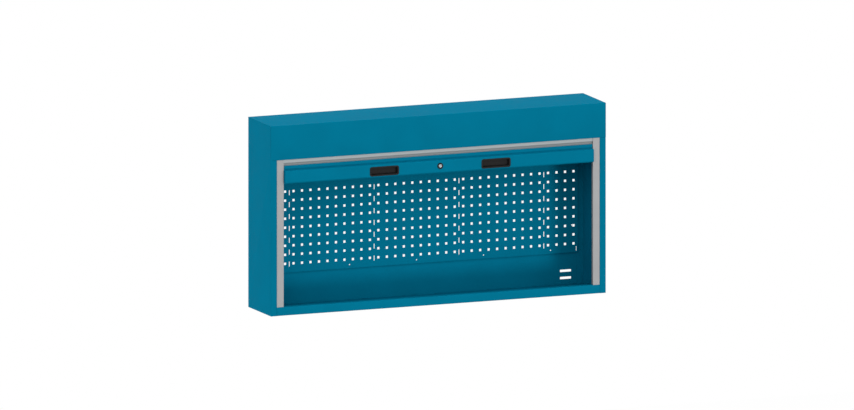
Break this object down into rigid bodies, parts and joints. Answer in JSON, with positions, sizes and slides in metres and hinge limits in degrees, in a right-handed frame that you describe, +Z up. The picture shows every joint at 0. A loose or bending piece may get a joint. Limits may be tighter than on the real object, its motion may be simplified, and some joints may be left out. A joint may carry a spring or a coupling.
{
  "type": "wall-mounted tambour cabinet",
  "caption": "Wide wall-hung tool cabinet with a perforated back panel and a vertical tambour door that slides in side rails and stores behind a tall header.",
  "frame": {"origin": "on the wall face of the hanging rail, half way along the cabinet and level with its keyholes", "axes": "+X to the right as seen from the front, +Y into the wall, +Z up"},
  "size_m": [1.5, 0.2646, 0.8],
  "materials": {
    "petrol_paint": "petrol blue powder coat, satin",
    "rail_paint": "light grey powder coat",
    "slat_paint": "light grey coil coat, satin",
    "zinc_plate": "bright zinc plate",
    "spring_steel": "oiled spring wire",
    "lock_chrome": "polished",
    "black_plastic": "matte black",
    "dark_nylon": "matte black",
    "buffer_rubber": "matte"
  },
  "bodies": {
    "cabinet": {"side_panel_left": "petrol_paint", "side_panel_right": "petrol_paint", "hood_cover": "petrol_paint", "bottom_tray": "petrol_paint", "rear_panel": "petrol_paint", "hanging_rail": "zinc_plate", "hood_soffit": "petrol_paint", "perforated_panel": "petrol_paint", "guide_rail_left": "rail_paint", "guide_rail_right": "rail_paint", "strike_plate_left": "zinc_plate", "strike_plate_right": "zinc_plate", "stop_rubber_left": "buffer_rubber", "stop_rubber_right": "buffer_rubber", "roller_bracket_left": "zinc_plate", "roller_bracket_right": "zinc_plate", "spring_axle": "zinc_plate"},
    "curtain_roller": {"roller_tube": "zinc_plate", "roller_end_plug_left": "dark_nylon", "roller_end_plug_right": "dark_nylon", "torsion_spring": "spring_steel"},
    "closing_bar": {"closing_bar_shell": "petrol_paint", "closing_bar_rear_cover": "petrol_paint", "bar_end_cap_left": "petrol_paint", "bar_end_cap_right": "petrol_paint", "guide_shoe_left": "dark_nylon", "guide_shoe_right": "dark_nylon", "handle_cup_left": "black_plastic", "handle_cup_right": "black_plastic", "lock_housing": "dark_nylon", "lock_nut": "zinc_plate", "rod_guide_left": "dark_nylon", "rod_guide_right": "dark_nylon", "tambour_slat_01": "slat_paint"},
    "key_barrel": {"lock_barrel": "lock_chrome", "lock_cam": "zinc_plate"},
    "left_rod": {"lock_rod_left": "zinc_plate"},
    "right_rod": {"lock_rod_right": "zinc_plate"},
    "slat_02": {"tambour_slat_02": "slat_paint"},
    "slat_03": {"tambour_slat_03": "slat_paint"},
    "slat_04": {"tambour_slat_04": "slat_paint"},
    "slat_05": {"tambour_slat_05": "slat_paint"},
    "slat_06": {"tambour_slat_06": "slat_paint"},
    "slat_07": {"tambour_slat_07": "slat_paint"},
    "slat_08": {"tambour_slat_08": "slat_paint"},
    "slat_09": {"tambour_slat_09": "slat_paint"},
    "slat_10": {"tambour_slat_10": "slat_paint"},
    "slat_11": {"tambour_slat_11": "slat_paint"},
    "slat_12": {"tambour_slat_12": "slat_paint"},
    "slat_13": {"tambour_slat_13": "slat_paint"},
    "slat_14": {"tambour_slat_14": "slat_paint"},
    "slat_15": {"tambour_slat_15": "slat_paint"},
    "slat_16": {"tambour_slat_16": "slat_paint"},
    "slat_17": {"tambour_slat_17": "slat_paint"},
    "slat_18": {"tambour_slat_18": "slat_paint"},
    "slat_19": {"tambour_slat_19": "slat_paint"},
    "slat_20": {"tambour_slat_20": "slat_paint"},
    "slat_21": {"tambour_slat_21": "slat_paint"},
    "slat_22": {"tambour_slat_22": "slat_paint"}
  },
  "joints": [
    {"name": "door_travel", "type": "slide", "parent": "cabinet", "child": "closing_bar", "axis": [0, 0, -1], "range_m": [0, 0.5157]},
    {"name": "slat_02_travel", "type": "slide", "parent": "cabinet", "child": "slat_02", "axis": [0, 0, -1], "range_m": [0, 0.4968]},
    {"name": "slat_03_travel", "type": "slide", "parent": "cabinet", "child": "slat_03", "axis": [0, 0, -1], "range_m": [0, 0.4779]},
    {"name": "slat_04_travel", "type": "slide", "parent": "cabinet", "child": "slat_04", "axis": [0, 0, -1], "range_m": [0, 0.459]},
    {"name": "slat_05_travel", "type": "slide", "parent": "cabinet", "child": "slat_05", "axis": [0, 0, -1], "range_m": [0, 0.4401]},
    {"name": "slat_06_travel", "type": "slide", "parent": "cabinet", "child": "slat_06", "axis": [0, 0, -1], "range_m": [0, 0.4212]},
    {"name": "slat_07_travel", "type": "slide", "parent": "cabinet", "child": "slat_07", "axis": [0, 0, -1], "range_m": [0, 0.4023]},
    {"name": "slat_08_travel", "type": "slide", "parent": "cabinet", "child": "slat_08", "axis": [0, 0, -1], "range_m": [0, 0.3834]},
    {"name": "slat_09_travel", "type": "slide", "parent": "cabinet", "child": "slat_09", "axis": [0, 0, -1], "range_m": [0, 0.3645]},
    {"name": "slat_10_travel", "type": "slide", "parent": "cabinet", "child": "slat_10", "axis": [0, 0, -1], "range_m": [0, 0.3456]},
    {"name": "slat_11_travel", "type": "slide", "parent": "cabinet", "child": "slat_11", "axis": [0, 0, -1], "range_m": [0, 0.3267]},
    {"name": "slat_12_travel", "type": "slide", "parent": "cabinet", "child": "slat_12", "axis": [0, 0, -1], "range_m": [0, 0.3078]},
    {"name": "slat_13_travel", "type": "slide", "parent": "cabinet", "child": "slat_13", "axis": [0, 0, -1], "range_m": [0, 0.2889]},
    {"name": "slat_14_travel", "type": "slide", "parent": "cabinet", "child": "slat_14", "axis": [0, 0, -1], "range_m": [0, 0.27]},
    {"name": "slat_15_travel", "type": "slide", "parent": "cabinet", "child": "slat_15", "axis": [0, 0, -1], "range_m": [0, 0.2511]},
    {"name": "slat_16_travel", "type": "slide", "parent": "cabinet", "child": "slat_16", "axis": [0, 0, -1], "range_m": [0, 0.2322]},
    {"name": "slat_17_travel", "type": "slide", "parent": "cabinet", "child": "slat_17", "axis": [0, 0, -1], "range_m": [0, 0.2133]},
    {"name": "slat_18_travel", "type": "slide", "parent": "cabinet", "child": "slat_18", "axis": [0, 0, -1], "range_m": [0, 0.1944]},
    {"name": "slat_19_travel", "type": "slide", "parent": "cabinet", "child": "slat_19", "axis": [0, 0, -1], "range_m": [0, 0.1755]},
    {"name": "slat_20_travel", "type": "slide", "parent": "cabinet", "child": "slat_20", "axis": [0, 0, -1], "range_m": [0, 0.1566]},
    {"name": "slat_21_travel", "type": "slide", "parent": "cabinet", "child": "slat_21", "axis": [0, 0, -1], "range_m": [0, 0.1377]},
    {"name": "slat_22_travel", "type": "slide", "parent": "cabinet", "child": "slat_22", "axis": [0, 0, -1], "range_m": [0, 0.1188]},
    {"name": "roller_turn", "type": "hinge", "parent": "cabinet", "child": "curtain_roller", "pos_m": [0, -0.11, -0.02], "axis": [1, 0, 0], "range_deg": [0, 660]},
    {"name": "rod_left_throw", "type": "slide", "parent": "closing_bar", "child": "left_rod", "axis": [-1, 0, 0], "range_m": [0, 0.012]},
    {"name": "rod_right_throw", "type": "slide", "parent": "closing_bar", "child": "right_rod", "axis": [1, 0, 0], "range_m": [0, 0.012]},
    {"name": "key_turn", "type": "hinge", "parent": "closing_bar", "child": "key_barrel", "pos_m": [0.003, -0.262, -0.154], "axis": [0, 1, 0], "range_deg": [0, 90]}
  ],
  "couplings": [
    {"joint": "slat_02_travel", "follows": "door_travel", "ratio": 0.96335},
    {"joint": "slat_03_travel", "follows": "door_travel", "ratio": 0.9267},
    {"joint": "slat_04_travel", "follows": "door_travel", "ratio": 0.89005},
    {"joint": "slat_05_travel", "follows": "door_travel", "ratio": 0.8534},
    {"joint": "slat_06_travel", "follows": "door_travel", "ratio": 0.81675},
    {"joint": "slat_07_travel", "follows": "door_travel", "ratio": 0.7801},
    {"joint": "slat_08_travel", "follows": "door_travel", "ratio": 0.74346},
    {"joint": "slat_09_travel", "follows": "door_travel", "ratio": 0.70681},
    {"joint": "slat_10_travel", "follows": "door_travel", "ratio": 0.67016},
    {"joint": "slat_11_travel", "follows": "door_travel", "ratio": 0.63351},
    {"joint": "slat_12_travel", "follows": "door_travel", "ratio": 0.59686},
    {"joint": "slat_13_travel", "follows": "door_travel", "ratio": 0.56021},
    {"joint": "slat_14_travel", "follows": "door_travel", "ratio": 0.52356},
    {"joint": "slat_15_travel", "follows": "door_travel", "ratio": 0.48691},
    {"joint": "slat_16_travel", "follows": "door_travel", "ratio": 0.45026},
    {"joint": "slat_17_travel", "follows": "door_travel", "ratio": 0.41361},
    {"joint": "slat_18_travel", "follows": "door_travel", "ratio": 0.37696},
    {"joint": "slat_19_travel", "follows": "door_travel", "ratio": 0.34031},
    {"joint": "slat_20_travel", "follows": "door_travel", "ratio": 0.30366},
    {"joint": "slat_21_travel", "follows": "door_travel", "ratio": 0.26702},
    {"joint": "slat_22_travel", "follows": "door_travel", "ratio": 0.23037},
    {"joint": "roller_turn", "follows": "door_travel", "rad_per_m": 22.22},
    {"joint": "rod_right_throw", "follows": "rod_left_throw", "ratio": 1},
    {"joint": "key_turn", "follows": "rod_left_throw", "rad_per_m": 130.9}
  ]
}
